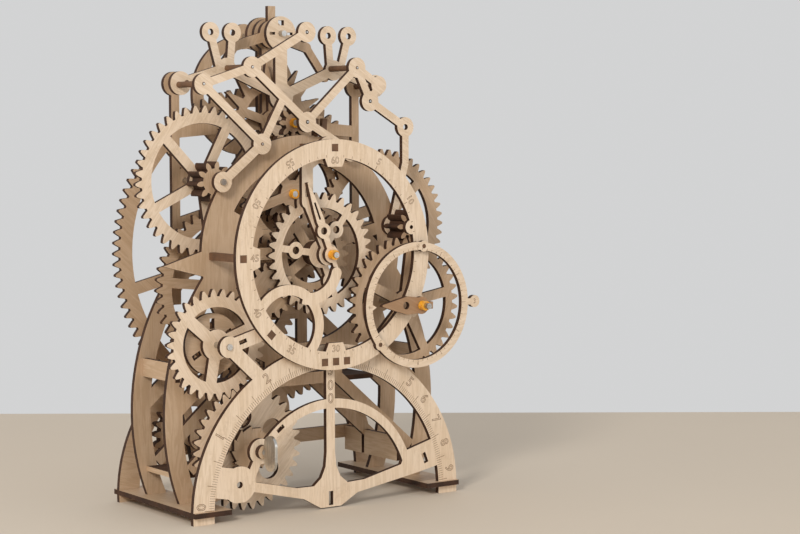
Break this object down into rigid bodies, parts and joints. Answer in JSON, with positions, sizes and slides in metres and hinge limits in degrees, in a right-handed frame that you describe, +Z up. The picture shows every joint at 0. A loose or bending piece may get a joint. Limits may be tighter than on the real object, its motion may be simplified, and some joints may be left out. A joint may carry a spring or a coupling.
{
  "type": "wooden mechanical clock puzzle",
  "caption": "Plywood mantel clock puzzle with open gear train, minute dial, small hour ring, wind-up barrel and swinging pendulum on an arched stand.",
  "frame": {"origin": "on the table under the middle of the bounding box", "axes": "+Z up, the dial faces -Y, +X to the right when looking at the dial"},
  "size_m": [0.1764, 0.1021, 0.2498],
  "materials": {
    "face_plywood": "satin",
    "inner_plywood": "satin",
    "arbor_steel": "brushed",
    "amber_rubber": "satin"
  },
  "bodies": {
    "frame": {"base_rail_left": "inner_plywood", "base_rail_right": "inner_plywood", "front_arch": "face_plywood", "rear_arch": "inner_plywood", "front_plate": "inner_plywood", "rear_plate": "inner_plywood", "crown_plate": "face_plywood", "bridge_plate": "face_plywood", "centre_bar": "face_plywood", "rear_post": "inner_plywood", "cross_ties": "inner_plywood", "upper_ties": "inner_plywood", "dial_pegs": "inner_plywood", "dial_plate": "face_plywood", "hour_ring": "face_plywood"},
    "hand": {"hand_arbor": "arbor_steel", "centre_wheel": "face_plywood", "hand_drum": "inner_plywood", "hand_wheel": "inner_plywood", "hand_pinion": "inner_plywood", "minute_hand": "face_plywood", "hand_cap": "amber_rubber"},
    "hour": {"hour_arbor": "arbor_steel", "hour_wheel": "inner_plywood", "hour_pointer": "face_plywood", "hour_cap": "amber_rubber"},
    "reducer": {"reducer_arbor": "arbor_steel", "reducer_pinion": "inner_plywood", "reducer_wheel": "inner_plywood"},
    "key": {"key_arbor": "arbor_steel", "key_wheel": "face_plywood", "key_ratchet": "inner_plywood", "key_pinion": "inner_plywood", "key_knob": "inner_plywood", "key_disc": "arbor_steel"},
    "idler": {"idler_arbor": "arbor_steel", "idler_wheel": "face_plywood", "idler_disc": "inner_plywood"},
    "great": {"great_arbor": "arbor_steel", "great_wheel": "inner_plywood", "spring_barrel": "inner_plywood", "mainspring": "arbor_steel", "barrel_cover": "inner_plywood"},
    "second": {"second_arbor": "arbor_steel", "second_pinion": "inner_plywood", "second_wheel": "inner_plywood"},
    "middle": {"middle_arbor": "arbor_steel", "middle_pinions": "inner_plywood", "middle_wheel": "inner_plywood", "middle_cap": "amber_rubber"},
    "side": {"side_arbor": "arbor_steel", "side_pinion": "inner_plywood", "side_wheel": "face_plywood"},
    "escape": {"escape_arbor": "arbor_steel", "escape_wheel": "inner_plywood", "escape_cap": "amber_rubber"},
    "pallet": {"pallet_arbor": "arbor_steel", "pallet_fork": "inner_plywood", "pendulum": "inner_plywood"}
  },
  "joints": [
    {"name": "hand_turn", "type": "hinge", "parent": "frame", "child": "hand", "pos_m": [-0.00222, -0.02585, 0.1258], "axis": [0, -1, 0], "continuous": true},
    {"name": "hour_turn", "type": "hinge", "parent": "frame", "child": "hour", "pos_m": [0.0458, -0.02985, 0.09896], "axis": [0, -1, 0], "continuous": true},
    {"name": "reducer_turn", "type": "hinge", "parent": "frame", "child": "reducer", "pos_m": [0.04907, -0.00535, 0.13792], "axis": [0, -1, 0], "continuous": true},
    {"name": "key_turn", "type": "hinge", "parent": "frame", "child": "key", "pos_m": [-0.04273, -0.02185, 0.03219], "axis": [0, -1, 0], "continuous": true},
    {"name": "idler_turn", "type": "hinge", "parent": "frame", "child": "idler", "pos_m": [-0.05981, -0.02185, 0.08384], "axis": [0, -1, 0], "continuous": true},
    {"name": "great_turn", "type": "hinge", "parent": "frame", "child": "great", "pos_m": [-0.00222, 0.03365, 0.1258], "axis": [0, -1, 0], "continuous": true},
    {"name": "second_turn", "type": "hinge", "parent": "frame", "child": "second", "pos_m": [-0.03028, 0.01415, 0.10815], "axis": [0, -1, 0], "continuous": true},
    {"name": "middle_turn", "type": "hinge", "parent": "frame", "child": "middle", "pos_m": [-0.00222, 0.00515, 0.15475], "axis": [0, -1, 0], "continuous": true},
    {"name": "side_turn", "type": "hinge", "parent": "frame", "child": "side", "pos_m": [-0.05101, 0.00515, 0.16179], "axis": [0, -1, 0], "continuous": true},
    {"name": "escape_turn", "type": "hinge", "parent": "frame", "child": "escape", "pos_m": [-0.00222, 0.01865, 0.19045], "axis": [0, -1, 0], "continuous": true},
    {"name": "pallet_swing", "type": "hinge", "parent": "frame", "child": "pallet", "pos_m": [-0.00222, 0.01865, 0.2355], "axis": [0, -1, 0], "range_deg": [-4, 4]}
  ],
  "couplings": [
    {"joint": "second_turn", "follows": "escape_turn", "ratio": 0.078431},
    {"joint": "idler_turn", "follows": "escape_turn", "ratio": -0.039216},
    {"joint": "key_turn", "follows": "escape_turn", "ratio": 0.034602},
    {"joint": "great_turn", "follows": "escape_turn", "ratio": -0.0086505},
    {"joint": "middle_turn", "follows": "escape_turn", "ratio": -0.23529},
    {"joint": "side_turn", "follows": "escape_turn", "ratio": 0.089636},
    {"joint": "reducer_turn", "follows": "escape_turn", "ratio": 0.019404},
    {"joint": "hour_turn", "follows": "escape_turn", "ratio": -0.004085},
    {"joint": "hand_turn", "follows": "escape_turn", "ratio": -0.04902}
  ]
}
